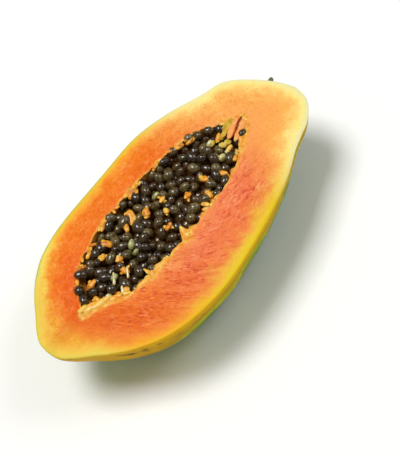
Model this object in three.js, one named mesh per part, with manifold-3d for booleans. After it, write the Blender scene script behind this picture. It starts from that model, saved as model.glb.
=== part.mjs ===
// Half of a ripe papaya, cut lengthwise, lying on its back with its seeds still in it.
//
// Sizes are in millimetres. The fruit is drawn in its own frame: x runs from the blossom tip to
// the stem end, y runs across and z = 0 is the cut face. The exported group lifts it so that the
// flat spot on its back rests on z = 0, with the origin under the middle of its bounding box.
//
// papaya_half  the skin and flesh, which grew as one piece, with the seed cavity, the torn edge
//              of its pale lining, the strands that the seeds grow on and the stub of the stalk
// seeds        the black seeds, packed against each other over a smaller core

import * as THREE from "three";
import { mergeVertices } from "three/addons/utils/BufferGeometryUtils.js";
import Module from "manifold-3d";

const wasm = await Module();
wasm.setup();

// ---- Driving dimensions ----

const FRUIT_LENGTH = 220; // blossom tip to the stem end, on the axis
const HALF_WIDTH = 57; // from the axis to the rim, at the widest
const BELLY_DEPTH = 52; // from the cut face to the back, at the widest
const FLAT_SPOT_CUT = 0.8; // how much of the back the flat spot takes off
const CAVITY_HALF_WIDTH = 25;
const CAVITY_DEPTH = 24;
const SEED_LENGTH = 7.8;
const SEED_WIDTH = 6.6;
const SEED_COUNT = 128;
// The seeds stay this far from the flesh. Its facets take up part of the wider one.
const WALL_GAP = 0.88;
const STRAND_GAP = 0.5;

// Outlines run from the blossom end to the stem end. Each point is a share of FRUIT_LENGTH along
// the axis and a share of the half-width across it.
const SKIN_OUTLINE = [
  [0, 0], [0.007, 0.146], [0.03, 0.282], [0.06, 0.411], [0.095, 0.566], [0.142, 0.728],
  [0.205, 0.874], [0.292, 0.968], [0.396, 1.002], [0.51, 0.989], [0.628, 0.95], [0.74, 0.835],
  [0.836, 0.673], [0.91, 0.567], [0.956, 0.386], [0.984, 0.197], [0.995, 0],
];
const CAVITY_OUTLINE = [
  [0.13, 0], [0.164, 0.22], [0.191, 0.44], [0.227, 0.68], [0.273, 0.86], [0.336, 0.95],
  [0.409, 1], [0.5, 1], [0.582, 0.985], [0.655, 0.9], [0.709, 0.76], [0.764, 0.535],
  [0.809, 0.3], [0.84, 0],
];

// The fruit grew slightly bent, so that its middle and the cavity's wander off the straight axis.
// Each bend is [how far it moves the middle across, in millimetres, where it starts, where it ends],
// the last two as shares of FRUIT_LENGTH.
const SKIN_BENDS = [[-3.1, 0.05, 0.38], [4.5, 0.4, 0.68], [-22, 0.88, 1.12]];
const SKIN_MIDDLE = 2.2; // off the axis at the blossom tip
const CAVITY_BENDS = [[5, 0.13, 0.19], [1.6, 0.27, 0.35]];
const CAVITY_MIDDLE = 1.9;

// The five shallow lobes that a papaya has in cross-section, as shares of the radius.
const LOBE = 0.014;
const CAVITY_LOBE = 0.05;

// ---- The fruit's form ----

const smoothstep = (low, high, value) => THREE.MathUtils.smoothstep(value, low, high);

/** An outline as a smooth curve, in millimetres along and across the axis. */
function outlineCurve(points, halfWidth) {
  return new THREE.SplineCurve(
    points.map(([along, across]) => new THREE.Vector2(along * FRUIT_LENGTH, across * halfWidth)),
  );
}

const skinCurve = outlineCurve(SKIN_OUTLINE, HALF_WIDTH);
const cavityCurve = outlineCurve(CAVITY_OUTLINE, CAVITY_HALF_WIDTH);

/** How far a middle line that starts at start lies off the axis at x, after its bends. */
function middleAt(x, start, bends) {
  return bends.reduce(
    (middle, [far, from, to]) => middle + far * smoothstep(from, to, x / FRUIT_LENGTH),
    start,
  );
}

const skinMiddle = (x) => middleAt(x, SKIN_MIDDLE, SKIN_BENDS);
const cavityMiddle = (x) => middleAt(x, CAVITY_MIDDLE, CAVITY_BENDS);

/** A point of the skin: half a turn around its middle, flattened between the lobes on the back. */
function skinPoint({ x, y: halfWidth }, angle) {
  const radius = halfWidth * (1 - LOBE * Math.sin(5 * angle));
  const depth = (radius * BELLY_DEPTH) / HALF_WIDTH;
  const z = Math.max(-depth * Math.sin(angle), FLAT_SPOT_CUT - BELLY_DEPTH * (1 - LOBE));
  return new THREE.Vector3(x, skinMiddle(x) + radius * Math.cos(angle), z);
}

/** A point of the cavity's wall, pulled in by inset all round. */
function cavityPoint({ x, y: halfWidth }, angle, inset = 0) {
  const radius = Math.max(halfWidth - inset, 0) * (1 + CAVITY_LOBE * Math.sin(5 * angle));
  const depth = (radius * CAVITY_DEPTH) / CAVITY_HALF_WIDTH;
  const y = cavityMiddle(x) + radius * Math.cos(angle);
  return new THREE.Vector3(x, y, -depth * Math.sin(angle));
}

/** The torn edge of the cavity, as a wave from -1 to 1 along the axis. */
function torn(x, side) {
  return (
    0.5 * Math.sin(0.42 * x + side) +
    0.3 * Math.sin(0.75 * x + 2.1 * side) +
    0.2 * Math.sin(1.13 * x + 0.7)
  );
}

// ---- Solids ----

/** A closed triangle list as a manifold-3d solid. */
function solidFrom(points, triangles) {
  const vertProperties = new Float32Array(points.flatMap((p) => p.toArray()));
  const triVerts = new Uint32Array(triangles.flat());
  return new wasm.Manifold(new wasm.Mesh({ numProp: 3, vertProperties, triVerts }));
}

/** A three.js geometry, moved by matrix, as a manifold-3d solid. */
function solidOf(geometry, matrix = new THREE.Matrix4()) {
  const bare = geometry.clone().applyMatrix4(matrix);
  bare.deleteAttribute("normal");
  bare.deleteAttribute("uv");
  const merged = mergeVertices(bare, 1e-4);
  return new wasm.Manifold(
    new wasm.Mesh({
      numProp: 3,
      vertProperties: merged.attributes.position.array,
      triVerts: new Uint32Array(merged.index.array),
    }),
  );
}

/**
 * A boat-shaped solid: a hull surface below, a rim all round and, above, a deck made of rings that
 * run in from the rim. hull(i, j) gives the hull's point at row i of rows and column j of columns,
 * from the +y rim round to the -y rim, and rings[k](i, j) gives a ring's point in the same way for
 * j = 0 or columns. The last ring is the rim of the surface lid(i, j), which closes the solid.
 */
function boat({ rows, hull, hullColumns, rings = [], lid, lidColumns }) {
  const points = [];
  const triangles = [];
  const add = (point) => points.push(point) - 1;
  const quad = (a, b, c, d) => triangles.push([a, b, c], [a, c, d]);

  /** A half-turn surface with a point at each end, as rows of point numbers. */
  const sheet = (surface, columns) =>
    Array.from({ length: rows + 1 }, (_, i) => {
      const isEnd = i === 0 || i === rows;
      if (isEnd) return new Array(columns + 1).fill(add(surface(i, 0)));
      return Array.from({ length: columns + 1 }, (_, j) => add(surface(i, j)));
    });

  const skin = (grid, columns, outwards) => {
    for (let i = 0; i < rows; i++) {
      for (let j = 0; j < columns; j++) {
        const corners = [grid[i][j], grid[i + 1][j], grid[i + 1][j + 1], grid[i][j + 1]];
        quad(...(outwards ? corners : corners.reverse()));
      }
    }
  };

  /** The closed line round a sheet's rim: out along its first column and back along its last. */
  const rimOf = (grid, columns) => [
    ...grid.map((row) => row[0]),
    ...grid.slice(1, rows).reverse().map((row) => row[columns]),
  ];

  const hullGrid = sheet(hull, hullColumns);
  const lidGrid = sheet(lid, lidColumns);
  skin(hullGrid, hullColumns, true);
  skin(lidGrid, lidColumns, false);

  const loops = [rimOf(hullGrid, hullColumns)];
  for (const ring of rings) {
    loops.push(rimOf(sheet((i, j) => ring(i, j === 0 ? 0 : 1), 1), 1));
  }
  loops.push(rimOf(lidGrid, lidColumns));
  for (let k = 0; k + 1 < loops.length; k++) {
    const count = loops[k].length;
    for (let n = 0; n < count; n++) {
      const next = (n + 1) % count;
      quad(loops[k][next], loops[k][n], loops[k + 1][n], loops[k + 1][next]);
    }
  }
  const faces = triangles.filter(([a, b, c]) => a !== b && b !== c && c !== a);
  return solidFrom(points, faces);
}

// ---- The skin and flesh ----

const ROWS = 50; // along the fruit
const SKIN_COLUMNS = 22; // round its back
const CAVITY_COLUMNS = 12;
const CUT_FACE_RINGS = [0.3, 0.65, 0.93]; // shares of the way from the skin to the cavity
const TORN_DEPTH = 1.3; // how far the torn edge wanders
const LIP_HEIGHT = 0.7; // how far it stands up

const skinRows = skinCurve.getSpacedPoints(ROWS);
const cavityRows = cavityCurve.getSpacedPoints(ROWS);

/** The cavity's wall with its edge torn: the waves fade towards the floor. */
function tornWall(row, angle, gap = 0) {
  const side = Math.cos(angle) > 0 ? 0 : 1;
  const fade = (1 - Math.sin(angle)) ** 3;
  const isPole = row.y === 0;
  const inset = isPole ? 0 : TORN_DEPTH * torn(row.x, side) * fade + gap;
  const point = cavityPoint(row, angle, inset);
  point.z += LIP_HEIGHT * fade * (0.5 + 0.5 * torn(row.x + 4, side));
  return point;
}

/** A ring of the cut face, at a share of the way from the skin to the cavity. */
function cutFaceRing(share) {
  return (i, j) => {
    const angle = j * Math.PI;
    const inner = cavityPoint(cavityRows[i], angle);
    return skinPoint(skinRows[i], angle).lerp(inner, share).setZ(0);
  };
}

const halfFruit = boat({
  rows: ROWS,
  hull: (i, j) => skinPoint(skinRows[i], (j / SKIN_COLUMNS) * Math.PI),
  hullColumns: SKIN_COLUMNS,
  rings: CUT_FACE_RINGS.map(cutFaceRing),
  lid: (i, j) => tornWall(cavityRows[i], (j / CAVITY_COLUMNS) * Math.PI),
  lidColumns: CAVITY_COLUMNS,
});

// ---- The heap of seeds ----

const RIM_SINK = -2.2; // the heap's height at the cavity's edge, from the cut face
const CROWN = 4.7; // how much higher it is in the middle

const cavityStart = CAVITY_OUTLINE[0][0] * FRUIT_LENGTH;
const cavityEnd = CAVITY_OUTLINE.at(-1)[0] * FRUIT_LENGTH;
const cavityMiddleX = (cavityStart + cavityEnd) / 2;
const cavitySamples = cavityCurve.getPoints(400);

/** The cavity's half-width at x. */
function cavityHalfWidth(x) {
  const next = cavitySamples.findIndex((sample) => sample.x >= x);
  if (next <= 0) return 0;
  const [low, high] = [cavitySamples[next - 1], cavitySamples[next]];
  return THREE.MathUtils.mapLinear(x, low.x, high.x, low.y, high.y);
}

/** The heap's height at x along the fruit and a share, -1 to 1, across the cavity. */
function heapHeight(x, across) {
  const along = (2 * (x - cavityStart)) / (cavityEnd - cavityStart) - 1;
  return RIM_SINK + CROWN * (1 - across ** 2) * (1 - along ** 4);
}

// ---- Strands of the lining that the seeds grow on ----

// Torn strands stand up between the seeds: [x, y, radius of the tip] in the fruit's frame.
const STRANDS = [
  [101, 14.2, 2.6], [93.5, 21, 3.2], [86.5, 18, 2.2], [72.6, 21, 2.8], [63.6, 17.5, 2.2],
  [68.1, 6.8, 2], [64.9, -0.3, 2.2], [46.4, 10.6, 2.4], [41.5, 0.6, 2.4], [56.4, -8.6, 2],
  [113, 11.8, 1.8], [108.3, 4.3, 2], [101.2, -3.5, 2], [123.3, 0.4, 2], [137.7, -0.5, 2.2],
  [131.5, -9.6, 2.2], [125, -12, 1.8], [147.5, -7, 2.2], [165.5, 11.7, 2], [163, 1.5, 1.8],
];
// Seeds that never ripened, pale and small, on strands of their own.
const PALE_SEEDS = [
  [113.1, 17.6, 1.9], [79.8, 7.6, 2.2], [77.4, 1.8, 1.7], [57.9, 1.9, 2], [47.3, -3, 1.6],
  [156, 0.9, 2.2], [159.1, 13.2, 1.8],
];
// Flat tongues of lining reach in from the edge: [root x, root y, tip x, tip y, width].
const TONGUES = [
  [180, 15.6, 168, 10.8, 5.5], [183, 6, 171, 3, 4.5], [103, -18.8, 104.9, -8.6, 4.5],
  [72, -17.4, 71.5, -9, 4], [120, -19.4, 117.5, -13, 4], [43, -14, 47, -7.5, 4],
];
const STRAND_ROOT_RADIUS = 1.2;
const STRAND_ROOT_SINK = 2.5; // how far a root runs into the cavity's floor
const STRAND_RISE = 0.6; // how far a strand's tip stands out of the heap
const TIP_REACH = 0.4; // the tip's widest place lies this share of its radius up
const TONGUE_THICKNESS = 1.6;
const TONGUE_ROOT_HEIGHT = -3;
const TONGUE_TIP_HEIGHT = 0.5;

/** A tapering tube of a few sides along a line, its section an ellipse, with grow added all over. */
function taper({ from, to, widths, thicknesses, grow = 0 }) {
  const sides = 6;
  const along = to.clone().sub(from).normalize();
  const level = new THREE.Vector3(-along.y, along.x, 0);
  const widthWay = level.lengthSq() > 0.01 ? level.normalize() : new THREE.Vector3(0, 1, 0);
  const thickWay = along.clone().cross(widthWay).normalize();
  const stations = widths.length;
  const points = [from.clone().addScaledVector(along, -grow)];
  for (let k = 0; k < stations; k++) {
    const middle = from.clone().lerp(to, k / (stations - 1));
    for (let n = 0; n < sides; n++) {
      const turn = (2 * Math.PI * n) / sides;
      points.push(
        middle.clone()
          .addScaledVector(widthWay, (widths[k] / 2 + grow) * Math.cos(turn))
          .addScaledVector(thickWay, (thicknesses[k] / 2 + grow) * Math.sin(turn)),
      );
    }
  }
  points.push(to.clone().addScaledVector(along, widths.at(-1) / 3 + grow));
  const last = points.length - 1;
  const triangles = [];
  for (let n = 0; n < sides; n++) {
    const next = (n + 1) % sides;
    triangles.push([0, 1 + next, 1 + n], [last, last - sides + n, last - sides + next]);
    for (let k = 0; k + 1 < stations; k++) {
      const [a, b] = [1 + k * sides + n, 1 + k * sides + next];
      triangles.push([a, b, b + sides], [a, b + sides, a + sides]);
    }
  }
  return solidFrom(points, triangles);
}

const strandSpecs = [
  ...[...STRANDS, ...PALE_SEEDS].map(([x, y, radius]) => {
    const halfWidth = cavityHalfWidth(x);
    const across = (y - cavityMiddle(x)) / halfWidth;
    const floor = (-CAVITY_DEPTH / CAVITY_HALF_WIDTH) * halfWidth * Math.sqrt(1 - across ** 2);
    const top = heapHeight(x, across) + STRAND_RISE - radius;
    const widths = [2 * STRAND_ROOT_RADIUS, 2 * STRAND_ROOT_RADIUS, 2 * radius, 1.7 * radius];
    return {
      from: new THREE.Vector3(x, y, floor - STRAND_ROOT_SINK),
      to: new THREE.Vector3(x, y, top + TIP_REACH * radius),
      widths,
      thicknesses: widths,
    };
  }),
  ...TONGUES.map(([rootX, rootY, tipX, tipY, width]) => ({
    from: new THREE.Vector3(rootX, rootY, TONGUE_ROOT_HEIGHT),
    to: new THREE.Vector3(tipX, tipY, TONGUE_TIP_HEIGHT),
    widths: [1.1 * width, width, 0.8 * width, 0.3 * width],
    thicknesses: [2, 1, 0.9, 0.6].map((share) => share * TONGUE_THICKNESS),
  })),
];

/** The woody stub of the stalk, in the skin beside the rim at the stem end. */
const stub = taper({
  from: new THREE.Vector3(208, 9, -4),
  to: new THREE.Vector3(217, 11.5, -2),
  widths: [7, 5.4, 4, 2.6],
  thicknesses: [5, 4.4, 3.2, 2],
});

// ---- The seeds ----

/** Random numbers from 0 to 1, the same on every run. */
function seededRandom(seed) {
  let state = seed;
  return () => {
    state = (Math.imul(state, 1664525) + 1013904223) >>> 0;
    return state / 2 ** 32;
  };
}

const CANDIDATES = 40; // places tried for each seed, of which the one with most room is kept
const EDGE_INSET = 3; // from the cavity's edge to the nearest seeds' middles
const SEED_SIDES = 6;
const SEED_RINGS = 4;
const SIZE_SPREAD = 0.12;
const HEIGHT_SPREAD = 1.1;
const MOST_TILT = 0.9; // radians
const CORE_DEPTH = 2.6; // from the heap's height down to the core

/** Places each seed where the seeds and strands before it leave most room. */
function seedPlaces() {
  const random = seededRandom(7);
  const taken = [...STRANDS, ...PALE_SEEDS].map(([x, y]) => [x, y]);
  const places = [];
  while (places.length < SEED_COUNT) {
    let best = null;
    for (let n = 0; n < CANDIDATES; n++) {
      const x = cavityStart + random() * (cavityEnd - cavityStart);
      const reach = cavityHalfWidth(x) - EDGE_INSET;
      const y = cavityMiddle(x) + (2 * random() - 1) * CAVITY_HALF_WIDTH;
      if (Math.abs(y - cavityMiddle(x)) > reach) continue;
      const room = Math.min(...taken.map(([a, b]) => Math.hypot(x - a, y - b)));
      if (!best || room > best.room) best = { x, y, room };
    }
    if (!best) continue;
    taken.push([best.x, best.y]);
    const size = 1 + SIZE_SPREAD * (2 * random() - 1);
    const across = (best.y - cavityMiddle(best.x)) / cavityHalfWidth(best.x);
    const lift = HEIGHT_SPREAD * (2 * random() - 1);
    const z = heapHeight(best.x, across) - (SEED_WIDTH * size) / 2 + lift;
    const turn = 2 * Math.PI * random();
    const tilt = MOST_TILT * (2 * random() - 1);
    places.push({ x: best.x, y: best.y, z, size, turn, tilt });
  }
  return places;
}

/** One seed: an egg shape lying along its own x, placed, tilted and turned. */
function seedSolid({ x, y, z, size, turn, tilt }) {
  const egg = new THREE.SphereGeometry(0.5, SEED_SIDES, SEED_RINGS).rotateZ(Math.PI / 2);
  const rotation = new THREE.Quaternion().setFromEuler(new THREE.Euler(0, tilt, turn, "ZYX"));
  const scale = new THREE.Vector3(SEED_LENGTH, SEED_WIDTH, SEED_WIDTH).multiplyScalar(size);
  return solidOf(egg, new THREE.Matrix4().compose(new THREE.Vector3(x, y, z), rotation, scale));
}

const CORE_THICKNESS = 0.5; // at its thinnest, along its rim
const CORE_COLUMNS = 8;
const CORE_ROWS = 20;
const coreRows = cavityCurve.getSpacedPoints(CORE_ROWS);

const core = boat({
  rows: CORE_ROWS,
  hull: (i, j) => {
    const point = cavityPoint(coreRows[i], (j / CORE_COLUMNS) * Math.PI);
    return point.setZ(Math.min(point.z, RIM_SINK - CORE_DEPTH - CORE_THICKNESS));
  },
  hullColumns: CORE_COLUMNS,
  lid: (i, j) => {
    const across = Math.cos((j / CORE_COLUMNS) * Math.PI);
    const row = coreRows[i];
    const y = cavityMiddle(row.x) + across * row.y;
    return new THREE.Vector3(row.x, y, heapHeight(row.x, across) - CORE_DEPTH);
  },
  lidColumns: CORE_COLUMNS,
});

// What the seeds may fill: the cavity, a gap clear of its wall, and the space above it.
const SPACE_TOP = 15;
const SPACE_COLUMNS = 8;
const endShare = 1 - (1.6 * WALL_GAP) / (cavityEnd - cavityStart);

/** A point of the wall of the seeds' space. */
function spaceWall(i, j) {
  const point = tornWall(cavityRows[i], (j / SPACE_COLUMNS) * Math.PI, WALL_GAP);
  return point.setX(THREE.MathUtils.lerp(cavityMiddleX, point.x, endShare));
}

const seedSpace = boat({
  rows: ROWS,
  hull: spaceWall,
  hullColumns: SPACE_COLUMNS,
  lid: (i, j) => spaceWall(i, j).setZ(SPACE_TOP),
  lidColumns: SPACE_COLUMNS,
});

const { union } = wasm.Manifold;
const strandSpace = union(strandSpecs.map((spec) => taper({ ...spec, grow: STRAND_GAP })));
const seeds = union([core, ...seedPlaces().map(seedSolid)])
  .intersect(seedSpace)
  .subtract(strandSpace);
const papayaHalf = union([halfFruit, stub, ...strandSpecs.map((spec) => taper(spec))]);

// ---- The two meshes ----

function meshOf(name, solid, { color, roughness }) {
  const { vertProperties, triVerts } = solid.getMesh();
  const geometry = new THREE.BufferGeometry();
  geometry.setAttribute("position", new THREE.BufferAttribute(vertProperties, 3));
  geometry.setIndex(new THREE.BufferAttribute(triVerts, 1));
  geometry.computeVertexNormals();
  const material = new THREE.MeshStandardMaterial({ color, roughness, metalness: 0 });
  const mesh = new THREE.Mesh(geometry, material);
  mesh.name = name;
  return mesh;
}

const papaya = new THREE.Group();
papaya.name = "papaya";
papaya.add(meshOf("papaya_half", papayaHalf, { color: 0xf58430, roughness: 0.5 }));
papaya.add(meshOf("seeds", seeds, { color: 0x2b2412, roughness: 0.3 }));
papaya.position.set(-FRUIT_LENGTH / 2, 0, BELLY_DEPTH * (1 - LOBE) - FLAT_SPOT_CUT);

export default papaya;
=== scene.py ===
"""Half of a ripe papaya, cut lengthwise, lying on its back with its seeds still in it.

Shapes are worked out in the fruit's own frame, in millimetres, which is the solids' frame too:
x runs from the blossom tip to the stem end, y runs across, and z = 0 is the cut face. placed()
moves points from there to the part's frame, in metres.
"""

import bpy
import numpy as np
from functools import partial
from math import cos, pi, radians, sin
from mathutils import Matrix, Vector


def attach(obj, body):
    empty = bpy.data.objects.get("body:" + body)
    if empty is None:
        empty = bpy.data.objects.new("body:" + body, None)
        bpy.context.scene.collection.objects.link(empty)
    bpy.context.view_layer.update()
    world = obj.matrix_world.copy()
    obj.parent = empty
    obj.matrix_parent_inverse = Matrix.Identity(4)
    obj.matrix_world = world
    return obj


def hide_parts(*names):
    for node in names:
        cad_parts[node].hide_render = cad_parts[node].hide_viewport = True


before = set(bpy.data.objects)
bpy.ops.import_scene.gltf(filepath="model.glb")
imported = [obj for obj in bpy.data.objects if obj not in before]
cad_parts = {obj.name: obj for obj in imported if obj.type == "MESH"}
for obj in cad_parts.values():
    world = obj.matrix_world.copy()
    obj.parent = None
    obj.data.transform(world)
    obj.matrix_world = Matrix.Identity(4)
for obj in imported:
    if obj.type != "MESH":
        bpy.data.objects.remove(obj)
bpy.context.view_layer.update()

# ---- Sizes, as in the solids ----

MM = 0.001
FRUIT_LENGTH = 220
HALF_WIDTH = 57
BELLY_DEPTH = 52
FLAT_SPOT_CUT = 0.8
CAVITY_HALF_WIDTH = 25
CAVITY_DEPTH = 24
SEED_LENGTH = 7.8
SEED_WIDTH = 6.6
LOBE = 0.014
CAVITY_LOBE = 0.05
LOBES = 5

# Shares of the length along the axis and of the half-width across it, from the blossom end.
SKIN_OUTLINE = [
    (0, 0), (0.007, 0.146), (0.03, 0.282), (0.06, 0.411), (0.095, 0.566), (0.142, 0.728),
    (0.205, 0.874), (0.292, 0.968), (0.396, 1.002), (0.51, 0.989), (0.628, 0.95), (0.74, 0.835),
    (0.836, 0.673), (0.91, 0.567), (0.956, 0.386), (0.984, 0.197), (0.995, 0),
]
CAVITY_OUTLINE = [
    (0.13, 0), (0.164, 0.22), (0.191, 0.44), (0.227, 0.68), (0.273, 0.86), (0.336, 0.95),
    (0.409, 1), (0.5, 1), (0.582, 0.985), (0.655, 0.9), (0.709, 0.76), (0.764, 0.535), (0.809, 0.3),
    (0.84, 0),
]

# The fruit grew slightly bent. Each bend is (how far it moves the middle across, in mm, where it
# starts, where it ends), the last two as shares of the length.
SKIN_MIDDLE = 2.2
SKIN_BENDS = [(-3.1, 0.05, 0.38), (4.5, 0.4, 0.68), (-22, 0.88, 1.12)]
CAVITY_MIDDLE = 1.9
CAVITY_BENDS = [(5, 0.13, 0.19), (1.6, 0.27, 0.35)]

# The cut face's height in the part's frame, where the back's flat spot is at zero.
CUT_FACE_HEIGHT = BELLY_DEPTH * (1 - LOBE) - FLAT_SPOT_CUT


def placed(points):
    """Points of the fruit's frame, in mm, as points of the part's frame, in metres."""
    return (np.asarray(points, float) + (-FRUIT_LENGTH / 2, 0, CUT_FACE_HEIGHT)) * MM


# ---- Curves and random fields ----


def rise(low, high, value):
    """0 below low, 1 above high and an S-shaped rise between them."""
    share = np.clip((value - low) / (high - low), 0, 1)
    return share * share * (3 - 2 * share)


def outline_curve(outline, half_width, count=600):
    """The uniform Catmull-Rom spline through an outline's points, in mm."""
    points = np.array(outline, float) * (FRUIT_LENGTH, half_width)
    place = np.linspace(0, len(points) - 1, count)
    first = np.minimum(place.astype(int), len(points) - 2)
    share = (place - first)[:, None]
    before = points[np.maximum(first - 1, 0)]
    start, end = points[first], points[first + 1]
    after = points[np.minimum(first + 2, len(points) - 1)]
    leaving, arriving = (end - before) / 2, (after - start) / 2
    cubic = (2 * start - 2 * end + leaving + arriving) * share**3
    square = (3 * end - 3 * start - 2 * leaving - arriving) * share**2
    return cubic + square + leaving * share + start


def along_table(x, table):
    """The value at x of a table of values by x, in straight lines between its entries."""
    return np.interp(x, list(table), list(table.values()))


def even_steps(curve, count):
    """count + 1 points at equal distances along a curve."""
    lengths = np.r_[0, np.cumsum(np.linalg.norm(np.diff(curve, axis=0), axis=1))]
    places = np.linspace(0, lengths[-1], count + 1)
    return np.stack([np.interp(places, lengths, column) for column in curve.T], axis=1)


def cell_values(cells, seed):
    """A repeatable random number from -1 to 1 for each whole-number cell, by mixing its bits."""
    mixed = (cells * np.array([374761393, 668265263, 1274126177])).sum(-1) + seed * 97531
    mixed = (mixed ^ (mixed >> 13)) * 1103515245 & 0xFFFFFFFF
    mixed = (mixed ^ (mixed >> 16)) * 69069 & 0xFFFFFFFF
    return ((mixed >> 8) & 0xFFFF) / 32767.5 - 1


def lumps(points, size, seed, octaves=2):
    """A smooth random field from about -1 to 1, with lumps of the given size in mm.

    Random values at a grid's corners are blended by how near each corner is. Each further octave
    adds lumps of half the size and height. Each seed gives another field.
    """
    total, weight = 0, 0
    for octave in range(octaves):
        scaled = np.asarray(points, float) * 2**octave / size + 0.37 * octave
        corner = np.floor(scaled).astype(np.int64)
        share = rise(0, 1, scaled - corner)
        value = 0
        for step in np.ndindex(2, 2, 2):
            nearness = np.where(step, share, 1 - share).prod(-1)
            value = value + nearness * cell_values(corner + np.array(step), seed + octave)
        total = total + value * 0.5**octave
        weight += 0.5**octave
    return total / weight


# ---- The fruit's form ----

CAVITY_CURVE = outline_curve(CAVITY_OUTLINE, CAVITY_HALF_WIDTH)
CAVITY_START = CAVITY_OUTLINE[0][0] * FRUIT_LENGTH
CAVITY_END = CAVITY_OUTLINE[-1][0] * FRUIT_LENGTH


def stacked(x, y, z):
    """Points from their three coordinates, which are arrays or numbers."""
    return np.stack(np.broadcast_arrays(x, y, z), axis=-1)


def middle_at(x, start, bends):
    """How far a middle line that starts at start lies off the axis at x, after its bends."""
    return start + sum(far * rise(low, high, x / FRUIT_LENGTH) for far, low, high in bends)


def cavity_middle(x):
    """How far off the axis the cavity's middle lies at x."""
    return middle_at(x, CAVITY_MIDDLE, CAVITY_BENDS)


def cavity_half_width(x):
    """The cavity's half-width at x."""
    return np.interp(x, CAVITY_CURVE[:, 0], CAVITY_CURVE[:, 1], left=0, right=0)


def skin_points(rows, angles):
    """The skin: each row of the outline swept half a turn round its middle, with five lobes."""
    x, half_width = rows[:, 0, None], rows[:, 1, None]
    radius = half_width * (1 - LOBE * np.sin(LOBES * angles))
    depth = radius * BELLY_DEPTH / HALF_WIDTH
    z = np.maximum(-depth * np.sin(angles), -CUT_FACE_HEIGHT)
    return stacked(x, middle_at(x, SKIN_MIDDLE, SKIN_BENDS) + radius * np.cos(angles), z)


def cavity_points(rows, angles, inset=0.0):
    """The cavity's wall: each row swept in the same way, pulled in by inset all round."""
    x, half_width = rows[:, 0, None], rows[:, 1, None]
    radius = np.maximum(half_width - inset, 0) * (1 + CAVITY_LOBE * np.sin(LOBES * angles))
    depth = radius * CAVITY_DEPTH / CAVITY_HALF_WIDTH
    return stacked(x, cavity_middle(x) + radius * np.cos(angles), -depth * np.sin(angles))


def torn(x, side):
    """The torn edge of the cavity, as a wave from -1 to 1 along the axis."""
    wave = 0.5 * np.sin(0.42 * x + side) + 0.3 * np.sin(0.75 * x + 2.1 * side)
    return wave + 0.2 * np.sin(1.13 * x + 0.7)


# ---- Mesh makers ----


def grid_triangles(index):
    """Triangles between the rows and columns of a grid of vertex numbers, and each one's column.

    Columns run on from the last to the first. Triangles with an edge of no length are left out.
    """
    ring = np.concatenate([index, index[:, :1]], axis=1)
    a, b, c, d = ring[:-1, :-1], ring[1:, :-1], ring[1:, 1:], ring[:-1, 1:]
    faces = np.concatenate([np.stack([a, b, c], -1), np.stack([a, c, d], -1)]).reshape(-1, 3)
    columns = np.tile(np.arange(a.shape[1]), 2 * a.shape[0])
    whole = (faces != np.roll(faces, 1, axis=1)).all(axis=1)
    return faces[whole], columns[whole]


def closed_form(grid):
    """Points and triangles of a grid whose columns run round and whose end rows are points."""
    index = np.arange(grid[..., 0].size).reshape(grid.shape[:2])
    index[[0, -1]] = index[[0, -1], :1]
    return grid.reshape(-1, 3), grid_triangles(index)[0]


def new_object(name, data):
    """An object of the scene, with its data."""
    made = bpy.data.objects.new(name, data)
    bpy.context.scene.collection.objects.link(made)
    return made


def new_piece(name, points, faces, materials, slots=None, attributes=None):
    """A smooth mesh object from points in the fruit's frame, riding on the part's one body."""
    used, faces = np.unique(faces, return_inverse=True)
    faces = faces.reshape(-1, 3)
    mesh = bpy.data.meshes.new(name)
    mesh.from_pydata(placed(points[used]), [], faces)
    for label, values in (attributes or {}).items():
        layer = mesh.attributes.new(label, "FLOAT", "POINT")
        layer.data.foreach_set("value", values[used].astype(np.float32))
    for material in materials:
        mesh.materials.append(material)
    if slots is not None:
        mesh.polygons.foreach_set("material_index", slots.astype(np.int32))
    mesh.polygons.foreach_set("use_smooth", np.ones(len(faces), bool))
    mesh.update()
    piece = new_object(name, mesh)
    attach(piece, "root")
    return piece


# ---- Materials ----

# The outputs used of those kinds of node whose first output isn't.
OUTPUTS = {"Attribute": "Fac", "TexCoord": "Object", "Mix": 2}


def linear(code):
    """An sRGB hex colour as a linear colour with alpha."""
    parts = [int(code[n : n + 2], 16) / 255 for n in (1, 3, 5)]
    return (*(p / 12.92 if p <= 0.04045 else ((p + 0.055) / 1.055) ** 2.4 for p in parts), 1)


def add_node(tree, kind, inputs=(), stops=None, **settings):
    """Adds a shader node with its settings, its ramp's stops and its inputs, which are values,
    hex colours or sockets, in order or by name or number, and gives its output. A mix is one of
    colours: 0 is the share of the second, and 6 and 7 are the two."""
    made = tree.nodes.new("ShaderNode" + kind)
    if kind == "Mix":
        made.data_type = "RGBA"
    for name, value in settings.items():
        setattr(made, name, value)
    for socket, value in inputs.items() if isinstance(inputs, dict) else enumerate(inputs):
        if isinstance(value, bpy.types.NodeSocket):
            tree.links.new(value, made.inputs[socket])
        else:
            made.inputs[socket].default_value = linear(value) if isinstance(value, str) else value
    if stops:
        elements = made.color_ramp.elements
        while len(elements) < len(stops):
            elements.new(1)
        for element, (position, colour) in zip(elements, stops.items()):
            element.position = position
            element.color = linear(colour)
    return made.outputs[OUTPUTS.get(kind, 0)]


def features(where, size, **values):
    """A texture's inputs, on coordinates in metres, for features that are size mm wide."""
    return {"Vector": where, "Scale": 1 / (size * MM), **values}


def new_material(name, **values):
    """A material with values set on its shader, what adds nodes to it and its coordinates."""
    material = bpy.data.materials.new(name)
    material.use_nodes = True
    tree = material.node_tree
    shader = tree.nodes["Principled BSDF"]
    for socket, value in values.items():
        shader.inputs[socket.replace("_", " ")].default_value = value
    add = partial(add_node, tree)
    return material, add, add("TexCoord")


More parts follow.
